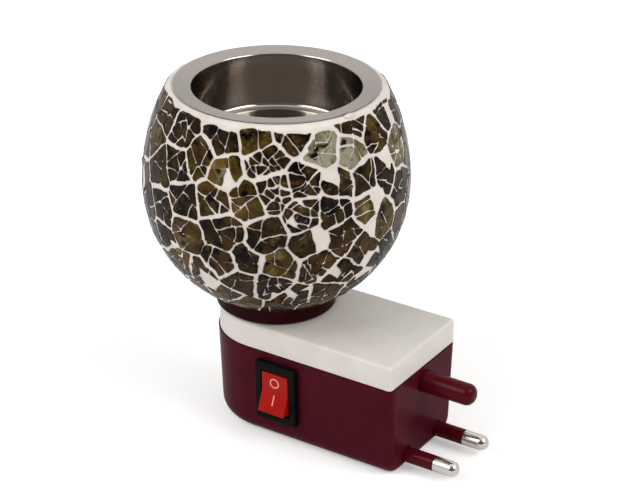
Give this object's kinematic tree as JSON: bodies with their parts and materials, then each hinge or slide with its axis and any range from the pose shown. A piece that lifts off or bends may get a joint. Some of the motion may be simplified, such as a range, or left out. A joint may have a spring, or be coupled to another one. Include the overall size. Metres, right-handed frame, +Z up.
{
  "type": "camphor burner",
  "caption": "Plug-in electric camphor burner: mosaic glass globe with a loose steel cup in its mouth, on a plastic housing with a rocker switch and round plug pins.",
  "frame": {"origin": "on the housing's flat underside, below the axis of the globe and the cup", "axes": "+Z up along the globe's axis, +X out of the plug face along the pins, -Y out of the switch side"},
  "size_m": [0.1178, 0.086, 0.1155],
  "materials": {
    "maroon_plastic": "moulded ABS, semi-gloss maroon",
    "cream_plastic": "moulded ABS, semi-gloss cream white",
    "black_plastic": "moulded nylon, satin black",
    "red_plastic": "moulded polycarbonate, gloss red",
    "mosaic_glass": "broken stained glass shards in white grout",
    "clear_glass": "clear blown glass",
    "polished_steel": "polished stainless sheet",
    "nickel_plate": "nickel-plated brass",
    "brass": "plain pressed brass",
    "white_porcelain": "glazed white porcelain",
    "zinc_steel": "zinc-plated steel",
    "red_insulation": "red PVC wire insulation",
    "black_insulation": "black PVC wire insulation"
  },
  "bodies": {
    "burner": {"lower_housing": "maroon_plastic", "top_cover": "cream_plastic", "globe_collar": "maroon_plastic", "glass_globe": "clear_glass", "mosaic_skin": "mosaic_glass", "lamp_holder": "white_porcelain", "holder_thread_shell": "brass", "holder_centre_contact": "brass", "globe_clamp_ring": "white_porcelain", "holder_terminal_live": "brass", "holder_terminal_neutral": "brass", "bulb_foot_contact": "zinc_steel", "bulb_insulator": "black_plastic", "bulb_cap": "nickel_plate", "bulb_envelope": "clear_glass", "bulb_stem": "clear_glass", "bulb_filament": "zinc_steel", "line_pin": "nickel_plate", "neutral_pin": "nickel_plate", "line_sleeve": "maroon_plastic", "neutral_sleeve": "maroon_plastic", "earth_pin": "maroon_plastic", "pin_retainer": "black_plastic", "retainer_screw_1": "zinc_steel", "retainer_screw_2": "zinc_steel", "housing_screw_1": "zinc_steel", "housing_screw_2": "zinc_steel", "housing_screw_3": "zinc_steel", "housing_screw_4": "zinc_steel", "switch_body": "black_plastic", "switch_line_terminal": "brass", "switch_load_terminal": "brass", "line_wire": "red_insulation", "switched_wire": "red_insulation", "neutral_wire": "black_insulation"},
    "rocker": {"switch_rocker": "red_plastic", "rocker_plunger": "nickel_plate", "plunger_spring": "zinc_steel"},
    "bridge": {"contact_bridge": "brass"},
    "cup": {"camphor_cup": "polished_steel"}
  },
  "joints": [
    {"name": "rocker_tilt", "type": "hinge", "parent": "burner", "child": "rocker", "pos_m": [0.0141, -0.0205, 0.01897], "axis": [1, 0, 0], "range_deg": [0, 25]},
    {"name": "bridge_tilt", "type": "hinge", "parent": "burner", "child": "bridge", "pos_m": [0.0141, -0.01071, 0.01943], "axis": [1, 0, 0], "range_deg": [-14, 0]},
    {"name": "cup_lift", "type": "slide", "parent": "burner", "child": "cup", "axis": [0, 0, 1], "range_m": [0, 0.06]}
  ],
  "couplings": [
    {"joint": "bridge_tilt", "follows": "rocker_tilt", "ratio": -0.56}
  ]
}
